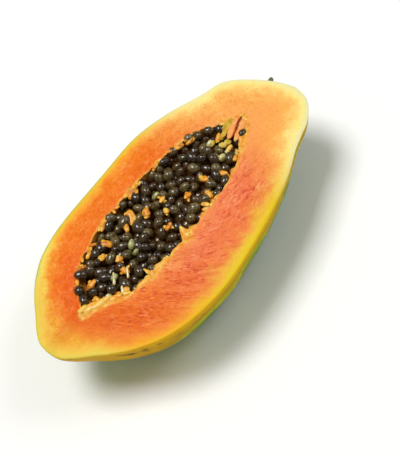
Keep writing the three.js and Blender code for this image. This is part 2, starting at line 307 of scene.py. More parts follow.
def finish_material(material, colour, layers):
    """Links the colour, and bumps given as (height socket, strength, height in mm)."""
    tree = material.node_tree
    shader = tree.nodes["Principled BSDF"]
    tree.links.new(colour, shader.inputs["Base Color"])
    normal = None
    for height, strength, distance in layers:
        inputs = {"Height": height, "Strength": strength, "Distance": distance * MM}
        if normal:
            inputs["Normal"] = normal
        normal = add_node(tree, "Bump", inputs)
    tree.links.new(normal, shader.inputs["Normal"])
    return material


def mottled_material(name, size, detail, stops, bump, toned=True, spread=None, drawn_out=None,
                     **values):
    """A material with one noise, of the given size in mm, which moves its colour along a ramp and
    roughens it with a bump of (strength, height in mm). Each form's own tone is added where
    toned. The noise can be narrowed to a spread either way of zero, or drawn out lengthwise."""
    material, add, where = new_material(name, **values)
    if drawn_out:
        where = add("Mapping", {"Vector": where, "Scale": (1 / drawn_out, 1, 1)})
    noise = add("TexNoise", features(where, size, Detail=detail))
    share = noise
    if spread:
        share = add("MapRange", [noise, 0.3, 0.7, -spread, spread])
    if toned:
        tone = add("Attribute", attribute_name="tone")
        share = add("Math", [share, tone], operation="ADD")
    colour = add("ValToRGB", [share], stops=stops)
    return finish_material(material, colour, [(noise, *bump)])


DEPTH_SPAN = 36  # mm under the skin that the flesh's colour ramps span

# The flesh's colours at depths in mm under the skin, for each part of the cut face.
FLESH_BANDS = {
    "near_side": {
        0.2: "#d4b410", 0.9: "#e0bf18", 1.7: "#e8c826", 2.8: "#ebc632", 4.5: "#edbe3f",
        7: "#efb045", 10: "#f09b46", 15: "#f08247", 20: "#ee7b46", 30: "#f18453", 36: "#f2904e",
    },
    "near_blossom": {
        0.2: "#e2ab0e", 0.9: "#ecb216", 1.7: "#f2b11e", 2.8: "#f2a722", 4.5: "#f19b2a",
        7: "#f08e2e", 10: "#ee812e", 15: "#ea731c", 20: "#e66b10", 30: "#ec7518", 36: "#f0903a",
    },
    "far_side": {
        0: "#98940f", 0.5: "#d2bc28", 1: "#dec43a", 1.6: "#e7c13c", 2.6: "#f2b936", 4: "#f6a52e",
        6: "#f5902a", 8.5: "#ef7d14", 14: "#f27f16", 22: "#ee7512",
    },
    "far_blossom": {
        0: "#a2a030", 0.6: "#d2c65c", 1.5: "#e6d864", 2.5: "#f0d85e", 3.7: "#f4cd52",
        5.2: "#f5ba42", 7: "#f3992c", 9: "#f0841c", 11.5: "#f07a12", 15: "#f17612", 19: "#ec6b0e",
        23: "#ea680c",
    },
    "stem_end": {
        0.2: "#eee9b4", 1.2: "#ede6a4", 2.5: "#f7e996", 4.5: "#fce487", 7: "#fdd276", 10: "#fcc368",
        14: "#fcb85d", 20: "#fbad57", 30: "#faaa5b",
    },
    "blossom_end": {
        0.2: "#d4c640", 1.2: "#e6cd50", 3: "#efc94e", 5: "#f1c048", 7.5: "#f0b03a", 10: "#efa12e",
        14: "#ef9130", 19: "#ef8224", 24: "#ea6c14",
    },
}

# The lining's colours on the cut face, from its wet folds to its dry edges.
LINING_COLOURS = {0.32: "#e08226", 0.45: "#ea9a38", 0.58: "#f2ba56", 0.72: "#f8d890"}


def flesh_material():
    """Ripe papaya flesh, cut with a knife: moist, fine-grained and slightly translucent.

    It runs from yellow under the skin through orange to a redder orange by the cavity. Broken
    cells give it a fine grain. On the near side short wavy fibres show as redder streaks, with
    painted pink highlights on their ridges.
    """
    material, add, where = new_material(
        "cut_papaya_flesh", Roughness=0.5, Specular_IOR_Level=0.15,
        IOR=1.37,  # mostly water and sugar
        Subsurface_Weight=0.2, Subsurface_Radius=(1.0, 0.42, 0.16), Subsurface_Scale=2 * MM,
        Coat_Weight=0.08, Coat_Roughness=0.25,  # juice on the cut
    )
    depth, rim, lining, along, across, fibrous, far_side = (
        add("Attribute", attribute_name=name)
        for name in ("skin_depth", "rim_distance", "lining", "along_fibres", "across_fibres",
                     "fibrous", "far_side")
    )

    # The bands of colour wander by a few millimetres, except close under the skin.
    wander = add("TexNoise", features(where, 9, Detail=4.0))
    wander = add("MapRange", [wander, 0.3, 0.7, -0.12, 0.12])
    inside = add("MapRange", [depth, 0.5, 9.0])
    wander = add("Math", [wander, inside], operation="MULTIPLY")
    share = add("Math", [depth, 1 / DEPTH_SPAN, wander], operation="MULTIPLY_ADD")
    colour = None
    for region, bands in FLESH_BANDS.items():
        stops = {depth_mm / DEPTH_SPAN: code for depth_mm, code in bands.items()}
        ramp = add("ValToRGB", [share], stops=stops)
        if colour is None:
            colour = ramp
            continue
        weight = add("Attribute", attribute_name=region)
        colour = add("Mix", {0: weight, 6: colour, 7: ramp})

    # Cells about a millimetre across, drawn coarse enough to show.
    cells = add("TexNoise", features(where, 1.4, Detail=3.0, Roughness=0.65))
    dark = add("MapRange", [cells, 0.45, 0.65, 0, 0.35])
    dark = add("Math", [dark, inside], operation="MULTIPLY")
    colour = add("Mix", {0: dark, 6: colour, 7: "#eab0a0"}, blend_type="MULTIPLY")
    bumps = [(cells, 0.3, 0.4)]

    # Fibres: wavy streaks with redder furrows and painted pink highlights on their ridges, in three
    # sizes, two or three times as long as wide. The widest are unbroken, the others come in
    # patches. The far side has mottles, with the same painted highlights, as well.
    place = add("CombineXYZ", [along, across])
    unbroken = add("Math", [fibrous, inside], operation="MULTIPLY")
    mottled = add("Math", [far_side, inside], operation="MULTIPLY")
    patches = add("TexNoise", features(where, 4, Detail=1.0))
    for zone, start, end in ((depth, 8.0, 15.0), (rim, 0.5, 3.0), (patches, 0.4, 0.55)):
        zone = add("MapRange", [zone, start, end])
        fibrous = add("Math", [fibrous, zone], operation="MULTIPLY")
    for vector, size, furrow, ridge_highlight, weight in (
        (where, 3.4, 0.25, 0.5, mottled), (place, 6, 0.35, 0.5, unbroken),
        (place, 3.6, 0.65, 0.75, fibrous), (place, 1.6, 1.0, 1.0, fibrous),
    ):
        inputs = features(vector, size, Detail=2.0, Roughness=0.6, Distortion=1.2)
        fibres = add("TexNoise", inputs)
        # Furrows are tinted redder; ridges are lightened as a painted highlight.
        for low, high, amount, tint, way in (
            (0.53, 0.63, furrow, "#e28ba0", "MULTIPLY"), (0.47, 0.35, ridge_highlight, "#b8684a", "SCREEN"),
        ):
            streaks = add("MapRange", [fibres, low, high, 0, amount])
            streaks = add("Math", [streaks, weight], operation="MULTIPLY")
            colour = add("Mix", {0: streaks, 6: colour, 7: tint}, blend_type=way)
        bumps.append((fibres, 0.3, 0.5))

    # The torn lining along the cavity's edge and over its wall.
    tissue = add("TexNoise", features(where, 3.2, Detail=4.0, Roughness=0.65))
    tissue = add("ValToRGB", [tissue], stops=LINING_COLOURS)
    colour = add("Mix", {0: lining, 6: colour, 7: tissue})
    return finish_material(material, colour, bumps)


def lining_material():
    """The papery lining of the seed cavity, torn into strands: wet, soft and translucent."""
    stops = {0.25: "#c2660f", 0.4: "#e28f1e", 0.52: "#f0aa32", 0.65: "#f5c452",
             0.85: "#f7e096"}
    return mottled_material(
        "torn_cavity_lining", 2.5, 3.0, stops, (0.5, 0.8), Roughness=0.4, IOR=1.38,
        Subsurface_Weight=0.3, Subsurface_Radius=(1.0, 0.6, 0.2), Subsurface_Scale=1 * MM,
        Coat_Weight=0.25, Coat_Roughness=0.2,
    )


def flap_material():
    """The torn flaps at the stem end: dull and moist, from olive through cream to orange."""
    stops = {0.0: "#a07f1c", 0.2: "#cda52c", 0.35: "#dcbf5a", 0.6: "#efdca0",
             0.75: "#f4bd76", 0.9: "#f6a256"}
    return mottled_material(
        "torn_stem_flap", 2.5, 3.0, stops, (0.4, 0.6), spread=0.15, Roughness=0.5, IOR=1.37,
        Specular_IOR_Level=0.3, Subsurface_Weight=0.2, Subsurface_Radius=(1.0, 0.5, 0.2),
        Subsurface_Scale=1.5 * MM,
    )


def pale_seed_material():
    """Unripe seeds: pale green and cream, smooth, in the same wet coat as the ripe ones."""
    stops = {0.3: "#7d7f45", 0.5: "#a9a866", 0.65: "#cbc487", 0.9: "#e6dba0"}
    return mottled_material(
        "unripe_seed", 2.5, 2.0, stops, (0.3, 0.4), Roughness=0.3, IOR=1.42,
        Subsurface_Weight=0.3, Subsurface_Radius=(1.0, 0.9, 0.5), Subsurface_Scale=1.5 * MM,
        Coat_Weight=0.8, Coat_Roughness=0.08,
    )


def shaded_seed_material():
    """What shows between the seeds: the dark, dull inside of the heap. Its warm brown is partly the
    orange pulp and partly painted warm light bounced from the flesh.
    """
    stops = {0.3: "#351c07", 0.7: "#5c3610"}
    return mottled_material("shaded_seeds", 3, 2.0, stops, (0.8, 2.0), toned=False,
                            Roughness=0.9, Specular_IOR_Level=0.1)


def dark_slit_material():
    """A split in the flesh: dark red, partly the red flesh in it and partly the crack's shade,
    painted.
    """
    stops = {0.3: "#741a06", 0.5: "#a8360a", 0.75: "#d8641c"}
    return mottled_material("red_split_painted_shade", 2, 2.0, stops, (0.3, 0.4), toned=False,
                            Roughness=0.4, IOR=1.37)


def stalk_material():
    """The cut stub of the stalk: dry, cracked, woody, with its grain lengthwise."""
    stops = {0.3: "#45402a", 0.5: "#6f6a4c", 0.7: "#9a9470"}
    return mottled_material("dry_papaya_stalk", 0.8, 4.0, stops, (0.7, 0.6), toned=False,
                            drawn_out=4, Roughness=0.85, IOR=1.5)


def seed_material():
    """Ripe papaya seeds: near black and wrinkled, each inside a clear, wet coat.

    The wavy coat gives small sharp highlights. The seed under it is duller, from olive to brown
    black, and differs from seed to seed. Deeper seeds are mixed towards a warm brown: partly the
    orange pulp they lie in, partly painted warm light bounced from the flesh.
    """
    material, add, where = new_material(
        "wet_papaya_seed", Roughness=0.25, IOR=1.4, Specular_IOR_Level=0.4, Coat_Weight=1.0,
        Coat_Roughness=0.05, Coat_IOR=1.52,
    )
    tone, sunk = (add("Attribute", attribute_name=name) for name in ("tone", "sunk"))
    wrinkles = add("TexNoise", features(where, 1.6, Detail=3.0, Roughness=0.6))
    share = add("MapRange", [wrinkles, 0.35, 0.7, -0.25, 0.35])
    share = add("Math", [tone, share], operation="ADD")
    stops = {0.0: "#1e1105", 0.3: "#32210b", 0.55: "#443315", 0.75: "#574723",
             0.95: "#6f6238"}
    colour = add("ValToRGB", [share], stops=stops)
    # Painted warm light: deeper seeds turn a warm brown, partly the orange pulp, partly light
    # bounced from the flesh.
    colour = add("Mix", {0: sunk, 6: colour, 7: "#5c3410"})
    waves = add("TexNoise", features(where, 3.5))
    film = add("Bump", {"Height": waves, "Strength": 0.4, "Distance": 0.9 * MM})
    tree = material.node_tree
    tree.links.new(film, tree.nodes["Principled BSDF"].inputs["Coat Normal"])
    return finish_material(material, colour, [(wrinkles, 0.6, 0.5)])


# The skin's colours by how green it still is. The dark golden stops at 0.1 and 0.22 are partly the
# skin's own colour and partly painted shade, for the strip below the near rim, which is darker near
# the floor.
SKIN_COLOURS = {
    0.0: "#eeb806", 0.1: "#daa802", 0.22: "#c09400", 0.36: "#bcbc02", 0.52: "#92a414",
    0.7: "#618224", 1.0: "#457722",
}


def skin_material():
    """Waxy papaya skin, ripening from green to yellow: smooth, with small corky specks.

    It is yellow beside the cut, darker golden just below it, partly its own colour and partly
    painted shade, and green, with yellow patches, on the back, with a soft gloss.
    """
    material, add, where = new_material(
        "waxy_papaya_skin", Roughness=0.45, Specular_IOR_Level=0.05,
        IOR=1.45,  # plant wax
        Subsurface_Weight=0.1, Subsurface_Radius=(1.0, 0.7, 0.2), Subsurface_Scale=1.5 * MM,
    )
    green_and_shade, marks, scar = (
        add("Attribute", attribute_name=name)
        for name in ("green_and_shade", "brown_marks", "stalk_scar")
    )
    patches, blotches, bruises = (
        add("TexNoise", features(where, size, Detail=detail, Roughness=roughness))
        for size, detail, roughness in ((30, 5.0, 0.55), (6, 4.0, 0.5), (9, 6.0, 0.5))
    )

    # How green it is: more with the depth below the cut, in patches about 30 mm across. Just below
    # the cut the value also carries painted shade.
    patches = add("MapRange", [patches, 0.3, 0.7, -0.3, 0.3])
    green = add("MapRange", [green_and_shade, 0.1, 0.4])
    share = add("Math", [patches, green, green_and_shade], operation="MULTIPLY_ADD")
    colour = add("ValToRGB", [share], stops=SKIN_COLOURS)

    # Over that: blotches, bruises, corky specks 3.4 mm apart, ragged brown marks, the scar.
    specks = add("TexVoronoi", features(where, 3.4))
    specks = add("MapRange", [specks, 0.16, 0.1, 0, 0.6])
    marks = add("Math", [marks, blotches, -0.5], operation="MULTIPLY_ADD")
    for field, start, end, amount, tint, way in (
        (blotches, 0.5, 0.75, 0.5, "#cfc468", "MULTIPLY"),
        (bruises, 0.62, 0.7, 0.5, "#7a6212", "MIX"), (specks, 0, 1, 1, "#b4a444", "MIX"),
        (marks, -0.15, 0.1, 0.85, "#453806", "MIX"), (scar, 0, 1, 1, "#6a6742", "MIX"),
    ):
        weight = add("MapRange", [field, start, end, 0, amount])
        colour = add("Mix", {0: weight, 6: colour, 7: tint}, blend_type=way)
    return finish_material(material, colour, [(specks, 0.3, 0.2), (blotches, 0.25, 1.0)])


# ---- The skin and flesh ----

ROWS = 300  # along the fruit
SKIN_COLUMNS = 110  # round its back
CAVITY_COLUMNS = 56
FACE_COLUMNS = 36  # from the skin to the cavity, on each side
# Where the columns of the near side, the cavity and the far side start.
FACE_START = SKIN_COLUMNS + 1
WALL_START = FACE_START + FACE_COLUMNS
FAR_START = WALL_START + CAVITY_COLUMNS + 1
RIM_DROP = 0.35  # mm that the knife's edge rounds off the rim
TORN_DEPTH = 1.3
EDGE_GAP = 40.0  # between the near and the far edge where their lumps are drawn
LINING_WIDTH = 3.0
SKIN_WAVES = 0.35  # how far the skin's waves dip in
KNIFE_WAVES, KNIFE_WAVE_SIZE = 0.16, 16  # height and size of slow waves on the cut face
TORN_CELLS, TORN_CELL_SIZE = 0.07, 3  # the same of its finer lumps
EDGE_SLOPE = 0.7  # how far the cut face falls towards the cavity
CROWDING = 0.11  # how far the cut face's columns crowd towards its edges
FAR_FROM_EDGE = 30  # the skin's distance from the cavity's edge, for its materials

SKIN_ROWS = even_steps(outline_curve(SKIN_OUTLINE, HALF_WIDTH), ROWS)
CAVITY_ROWS = even_steps(CAVITY_CURVE, ROWS)

# Where the lining reaches in over the seeds: (x, reach, half the width it tapers over), in mm.
NEAR_WEDGES = [
    (37, 3, 9), (47, 2, 6), (76, 2.2, 9), (103, 6.5, 5), (119, 2.2, 5), (131, 1.5, 4), (152, 1, 5),
    (172, 3.5, 9),
]
FAR_WEDGES = [(81, 1.5, 4), (112, 1.2, 5), (131, 1.5, 4), (147, 2.2, 6), (177, 7, 11)]
# How wide the lining lies along the near and the far edge, by x, in mm.
NEAR_LINING = {
    30: 4, 37: 4, 46: 3, 55: 1.5, 64: 2, 72: 4, 81: 3.6, 91: 1.6, 98: 3, 107: 1.4, 113: 0.3,
    121: 0.4, 130: 0.2, 140: 0.3, 150: 1.4, 160: 1.6, 170: 2.6, 182: 4,
}
FAR_LINING = {
    30: 0.6, 60: 0.8, 70: 1.2, 78: 2.8, 84: 2.2, 92: 1.5, 100: 2.8, 108: 3.2, 114: 2, 122: 0.8,
    135: 0.8, 145: 1.2, 152: 2.2, 160: 0.8, 170: 0.5, 182: 2,
}


def wedges(x, places):
    """How far wedges of lining reach in from the cavity's edge at x: the sum of their peaks."""
    total = 0 * x
    for middle, reach, half in places:
        total = total + reach * np.clip(1 - np.abs(x - middle) / half, 0, 1) ** 1.4
    return total


def torn_wall(angles):
    """The cavity's wall with a torn edge, moved across by the torn wave, by sharper lumps and by
    the wedges of lining, and a little up and down by a second field. All fade towards the floor
    and the two ends."""
    wall = cavity_points(CAVITY_ROWS, angles)
    x = CAVITY_ROWS[:, 0, None] + 0 * angles
    near = np.cos(angles) < 0
    fade = (1 - np.sin(angles)) ** 3
    end = rise(0, 4, CAVITY_ROWS[:, 1, None])
    along = stacked(x, EDGE_GAP * near, 0.0)
    ragged = np.abs(lumps(along, 9, 21, 3)) * 2 - 0.5
    reach = np.where(near, wedges(x, NEAR_WEDGES), wedges(x, FAR_WEDGES))
    inset = (0.6 * TORN_DEPTH * torn(x, near) + 0.9 * ragged + reach) * fade * end
    wall = cavity_points(CAVITY_ROWS, angles, inset)
    wall[..., 2] += fade * end * 0.5 * lumps(along, 4, 22)
    folds = lumps(wall * (1, 1, 0.6), 5, 23, 3) * (1 - fade) * end
    wall[..., 1] += 0.8 * folds * np.cos(angles)
    wall[..., 2] += 0.8 * folds * np.sin(angles)
    return wall


def fruit_surface():
    """The half fruit as one closed surface: a grid whose rows run from end to end.

    Each row goes round the skin from the far rim to the near rim, in along the cut face, round
    the cavity and out along the cut face. At both ends a row closes to a line, where the two
    halves of the cut face meet. The cut face is flat here.
    """
    skin = skin_points(SKIN_ROWS, np.linspace(0, pi, SKIN_COLUMNS + 1))
    waves = lumps(skin, 28, 31) * SKIN_WAVES
    inwards = skin * (0, 1, 1)
    inwards /= np.maximum(np.linalg.norm(inwards, axis=-1, keepdims=True), 1)
    resting = rise(-CUT_FACE_HEIGHT + 0.1, -CUT_FACE_HEIGHT + 4, skin[..., 2])
    below = rise(0, 3, -skin[..., 2])
    skin = skin - inwards * (np.abs(waves) * resting * below)[..., None]

    wall = torn_wall(np.linspace(pi, 0, CAVITY_COLUMNS + 1))
    share = np.linspace(0, 1, FACE_COLUMNS + 2)[1:-1]
    share = share - CROWDING * np.sin(2 * pi * share)
    share = share[None, :, None]
    level = (1, 1, 0)
    near = skin[:, -1:] * (1 - share) + wall[:, :1] * level * share
    far = skin[:, :1] * (1 - share) + wall[:, -1:] * level * share
    far = far[:, ::-1]
    far[[0, -1]] = near[[0, -1]][:, ::-1]

    grid = np.concatenate([skin, near, wall, far], axis=1)
    index = np.arange(grid[..., 0].size).reshape(grid.shape[:2])
    for row in (0, -1):
        index[row, :FACE_START] = index[row, 0]
        index[row, WALL_START:FAR_START] = index[row, WALL_START]
        index[row, FAR_START:] = index[row, FACE_START:WALL_START][::-1]
    return grid, index


def distance_to(points, line):
    """The distance in plan from each point of a grid to a closed line of joined points."""
    start = line[:, :2]
    step = np.roll(start, -1, axis=0) - start
    squared = np.maximum((step**2).sum(-1), 1e-9)
    distances = []
    for column in np.moveaxis(points[..., :2], 1, 0):
        away = column[:, None] - start
        share = np.clip((away * step).sum(-1) / squared, 0, 1)
        distances.append(np.linalg.norm(away - share[..., None] * step, axis=-1).min(axis=1))
    return np.stack(distances, axis=1)


def face_distances(grid):
    """For each point, its distance under the skin, as seen on the cut face, and its distance out
    from the cavity's edge, which is below zero down the wall."""
    skin, wall = grid[:, :FACE_START], grid[:, WALL_START:FAR_START]
    rim_line = np.concatenate([skin[:, 0], skin[::-1, -1]])
    edge_line = np.concatenate([wall[:, -1], wall[::-1, 0]])
    steps = np.linalg.norm(np.diff(wall, axis=1, prepend=wall[:, :1]), axis=-1)
    from_near = np.cumsum(steps, axis=1)
    below = np.minimum(from_near, from_near[:, -1:] - from_near)
    depth = distance_to(grid, rim_line)
    depth[:, :FACE_START] = 0
    depth[:, WALL_START:FAR_START] += below
    rim = distance_to(grid, edge_line)
    rim[:, :FACE_START] = FAR_FROM_EDGE
    rim[:, WALL_START:FAR_START] = -below
    return depth, rim


def add_face_relief(grid, depth, rim):
    """Raises and lowers the cut face: slow waves from the knife, finer lumps of torn cells, a
    rounded rim, and the cavity's ragged edge, which slopes down and blends in over 4 mm."""
    near, far = slice(FACE_START, WALL_START), slice(FAR_START, None)
    for face, edge in ((near, WALL_START), (far, FAR_START - 1)):
        points, under, out = grid[:, face], depth[:, face], rim[:, face]
        inside = rise(0, 4, under) * rise(0, 3, out)
        waves = KNIFE_WAVES * lumps(points, KNIFE_WAVE_SIZE, 41)
        relief = inside * (waves + TORN_CELLS * lumps(points, TORN_CELL_SIZE, 42))
        slope = rise(LINING_WIDTH, 0, out) * (0.5 + 0.5 * lumps(points, 5, 43))
        slope = EDGE_SLOPE * slope * rise(0, 0.8, out)
        blend = grid[:, edge, 2, None] * rise(4, 0, out)
        points[..., 2] += relief + blend - slope - RIM_DROP * np.exp(-((under / 0.6) ** 2))
    grid[:, [0, SKIN_COLUMNS], 2] -= RIM_DROP


STALK = (214, 11, -1.5)  # the middle of the scar that it stands in
SCAR_RADIUS = 6
# Brown marks on the skin, below the near rim by the blossom end.
BROWN_MARKS = [(22, -31.5, -5), (25, -34, -6), (29, -37, -7), (35, -42, -6), (42, -47, -5)]
MARK_RADIUS = 5
SIDE_BLEND = 5  # how far the two sides' colours and fibres blend over the middle line
FIBRE_TURN = 110  # the x at which the near side's fibres start to turn
MIDDLE_LINE = {0: 2, 28: 2, 60: 6, 184: 8, 220: 0}  # y, by x, between the near and far side


def half_fruit(skin_finish, flesh_finish):
    """The skin and flesh, with the distances and regions that its materials read."""
    grid, index = fruit_surface()
    depth, rim = face_distances(grid)
    add_face_relief(grid, depth, rim)
    x, y, z = np.moveaxis(grid, -1, 0)

    far = rise(-SIDE_BLEND, SIDE_BLEND, y - along_table(x, MIDDLE_LINE))
    # The lining is a few millimetres wide on the near side and a thin line on the far side.
    patches = 0.5 + 0.5 * lumps(grid * (1, 0.3, 0), 11, 51)
    width = (1 - far) * (along_table(x, NEAR_LINING) + 0.8 * wedges(x, NEAR_WEDGES))
    far_width = along_table(x, FAR_LINING) * (0.4 + 0.8 * patches)
    width += far * (far_width + 0.6 * wedges(x, FAR_WEDGES))
    width += 0.5 * lumps(grid, 2.5, 52)
    lining = rise(width + 0.9, width - 0.9, rim) * (1 - 0.4 * rise(0, -7, rim))

    # The back keeps its green; beside the cut it has ripened to yellow. Just below the cut the value
    # is raised into the darker golden stops, partly the skin's colour and partly painted shade.
    middle = middle_at(x, SKIN_MIDDLE, SKIN_BENDS)
    down = np.clip(-z / np.maximum(np.hypot(y - middle, z), 1), 0, 1)
    green_and_shade = rise(10, 90, x) * 0.45 * rise(0.02, 0.6, down)
    green_and_shade += 0.12 * rise(0, 0.12, down) + 0.25 * rise(0.5, 0.95, down)
    green_and_shade += 0.2 * rise(60, 110, x) * rise(0, 0.2, down)
    green_and_shade += 0.2 * far * rise(0.02, 0.3, down)
    from_stalk = np.linalg.norm(grid - STALK, axis=-1)
    scar = rise(SCAR_RADIUS + 1, SCAR_RADIUS - 2, from_stalk)
    marks = sum(
        rise(MARK_RADIUS, 0, np.linalg.norm((grid - place) * (0.7, 1, 1.2), axis=-1))
        for place in BROWN_MARKS
    )

    # On the near side the fibres run along the fruit by the stem and turn across it towards the
    # blossom end. On the far side they run beside the skin.
    before = 10 * np.log1p(np.exp((FIBRE_TURN - x) / 10))
    across_fibres = (1 - far) * (y - 1.28 * before) + far * depth + 1.8 * lumps(grid, 10, 61)
    along_fibres = 0.34 * x - (1 - far) * 0.3 * before
    fibrous = (1 - 0.6 * far - 1.6 * far * (1 - far)) * (0.3 + 0.7 * patches)
    fibrous *= rise(185, 150, x) * rise(14, 40, x)

    faces, face_columns = grid_triangles(index)
    attributes = dict(
        skin_depth=depth,
        rim_distance=rim,
        far_side=far,
        far_blossom=far * rise(64, 46, x),
        stem_end=far * rise(128, 184, x) + (1 - far) * rise(144, 188, x),
        blossom_end=far * rise(34, 18, x) + (1 - far) * rise(36, 14, x),
        near_blossom=(1 - far) * rise(104, 48, x),
        along_fibres=along_fibres * MM,
        across_fibres=across_fibres * MM,
        fibrous=fibrous,
        lining=lining,
        green_and_shade=green_and_shade,
        stalk_scar=scar,
        brown_marks=marks,
    )
    fruit = new_piece("papaya_flesh_and_skin", grid.reshape(-1, 3), faces,
                      [skin_finish, flesh_finish], face_columns >= SKIN_COLUMNS,
                      {name: values.ravel() for name, values in attributes.items()})
    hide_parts("papaya_half")
    return fruit


# ---- The torn lining between the seeds ----

RIM_SINK = -2.2  # the heap's height at the cavity's edge, from the cut face
CROWN = 4.7  # how much higher it is in the middle
UNEVEN, UNEVEN_SIZE = 1.2, 15  # height and size of its lumps

# Torn strands that stand up between the seeds: (x, y, radius of the tip), as in the solids.
STRANDS = [
    (101, 14.2, 2.6), (93.5, 21, 3.2), (86.5, 18, 2.2), (72.6, 21, 2.8), (63.6, 17.5, 2.2),
    (68.1, 6.8, 2), (64.9, -0.3, 2.2), (46.4, 10.6, 2.4), (41.5, 0.6, 2.4), (56.4, -8.6, 2),
    (113, 11.8, 1.8), (108.3, 4.3, 2), (101.2, -3.5, 2), (123.3, 0.4, 2), (137.7, -0.5, 2.2),
    (131.5, -9.6, 2.2), (125, -12, 1.8), (147.5, -7, 2.2), (165.5, 11.7, 2), (163, 1.5, 1.8),
]
# Pale, unripe seeds: (x, y, radius).
PALE_SEEDS = [
    (113.1, 17.6, 1.9), (79.8, 7.6, 2.2), (77.4, 1.8, 1.7), (57.9, 1.9, 2), (47.3, -3, 1.6),
    (156, 0.9, 2.2), (159.1, 13.2, 1.8),
]
# Flat tongues that reach in from the edge: (root x, root y, tip x, tip y, width, tone).
TONGUES = [(103, -18.8, 104.9, -8.6, 4, 0.1), (72, -17.4, 71.5, -9, 3, 0.12)]
# The flaps at the stem end, in the same way. Their tones run from olive to the flesh's orange.
FLAPS = [
    (181, 13.2, 166, 9.4, 5.5, 0.18), (183, 10, 167, 5.4, 5.6, 0.92), (184.5, 5.6, 168, 1, 5.8, 0.9),
]
# Lumps of the same tissue between the seeds there: (x, y, radius, tone).
FLAP_LUMPS = [
    (160, 12, 1.8, 0.3), (163, 6, 2, 0.35), (166.5, 5, 1.9, 0.25), (160, -1, 1.9, 0.45),
    (154, 2, 1.8, 0.3), (167, 10.5, 1.8, 0.3), (177, -0.4, 1.5, 0.5), (172.5, -2.2, 1.6, 0.45),
    (168, -3.6, 1.7, 0.5), (164, -5, 1.5, 0.4), (171.5, 0.6, 1.7, 0.25),
]
# Pale sprouts between the seeds: (x, y, x of the tip, y of the tip, radius).
SPROUTS = [(54, -1.7, 60, 4, 1.1), (62, -5.6, 67.5, -0.2, 0.8), (53, -9, 56.5, -5.5, 1)]
# Where lumps of lining lie between the seeds and the wall: (x, side of the cavity, how many, how
# far in they reach in mm).
EDGE_PATCHES = [
    (82, 1, 6, 3.5), (76, 1, 4, 3.5), (57, 1, 4, 3), (66, 1, 2, 2.5), (93, 1, 2, 3),
    (105, 1, 6, 3.5), (112, 1, 3, 2.5), (127, 1, 4, 3), (134, 1, 2, 2.5), (147, 1, 4, 3),
    (154, 1, 4, 3), (46, 1, 2, 2), (40, 1, 2, 2), (131, -1, 7, 4), (126, -1, 4, 4), (145, -1, 2, 3),
    (106, -1, 2, 3), (80, -1, 2, 2.5), (70, -1, 2, 2), (50, -1, 5, 4), (44, -1, 7, 6),
    (38, -1, 7, 6), (34, -1, 3, 4), (164, -1, 3, 3), (172, -1, 3, 4),
]
# The smooth folds that fill the blossom corner of the cavity: (middle, radius, reach).
BLOSSOM_LINING = [
    ((37, -0.3, -0.8), 2.6, (21, -10, 0.3)), ((32, 3.6, -1), 2.4, (9, -3, 0)),
    ((45.5, -5.6, -1), 1.8, (15, -8, 0.2)), ((66.5, -15.4, -1), 1.7, (13, -3, 0)),
]
STRAND_RISE = -0.4  # of a strand's tip over the heap
NECK = 9  # a strand's length below its tip
TONGUE_THICKNESS = 1.6


def heap_height(x, across):
    """The heap's height at x and at a share, -1 to 1, of the way across the cavity: a low dome,
    uneven by about a millimetre and fuller towards its edges."""
    along = 2 * (x - CAVITY_START) / (CAVITY_END - CAVITY_START) - 1
    dome = RIM_SINK + CROWN * (1 - across**2) * (1 - along**4)
    uneven = UNEVEN * lumps(stacked(x, CAVITY_HALF_WIDTH * across, 0.0), UNEVEN_SIZE, 71)
    sides = rise(0.5, 1, np.abs(across)) + 1.8 * rise(0.5, 1, across)
    return dome + uneven + sides


def swept(path, widths, heights, sides, roughness, size, seed):
    """A closed form along a path: at each point an ellipse, square to the path, with the given
    width, level with the ground, and height. The ends close where both are nothing. Lumps of
    the given size and share of the width roughen it."""
    path, widths, heights = (np.asarray(values, float) for values in (path, widths, heights))
    along = np.gradient(path, axis=0)
    along /= np.linalg.norm(along, axis=1, keepdims=True)
    level = stacked(-along[:, 1], along[:, 0], 0.0)
    level[:, 1] += 1e-3
    level /= np.linalg.norm(level, axis=1, keepdims=True)
    upright = np.cross(along, level)
    turn = np.linspace(0, 2 * pi, sides, endpoint=False)[None, :, None]
    spokes = level[:, None] * np.cos(turn) * widths[:, None, None] / 2
    spokes = spokes + upright[:, None] * np.sin(turn) * heights[:, None, None] / 2
    swell = 1 + roughness * lumps(path[:, None] + spokes, size, seed, 3)
    return closed_form(path[:, None] + spokes * swell[..., None])


def joined_piece(name, parts, finish):
    """Several forms, each with its points, faces and tone, as one piece."""
    points, faces, tones = zip(*parts)
    starts = np.cumsum([0] + [len(form) for form in points])
    faces = np.concatenate([form + start for form, start in zip(faces, starts)])
    tone = np.repeat(tones, np.diff(starts))
    return new_piece(name, np.concatenate(points), faces, [finish], attributes={"tone": tone})


def strand_top(x, y):
    """The height at which a strand's tip stands out of the heap."""
    across = (y - cavity_middle(x)) / cavity_half_width(x)
    return heap_height(x, across) + STRAND_RISE


def heading(turn, slope):
    """A direction, by its turn about the vertical and its slope."""
    return np.array([cos(turn), sin(turn), slope])


def lump(middle, radius, reach, tone, seed, height=0.6, taper=0.0, roughness=0.6, size=3):
    """A lump with its tone: an ellipse along a short line of the given reach. Its height is a
    share of its width, and it can taper towards one end."""
    share = np.linspace(0, 1, 13)
    path = np.asarray(middle) + (share - 0.5)[:, None] * np.asarray(reach)
    width = 2 * radius * np.sqrt(np.clip(1 - (2 * share - 1) ** 2, 0, 1))
    width *= 1 - taper * (share - 0.5)
    return (*swept(path, width, height * width, 12, roughness, size, seed), tone)


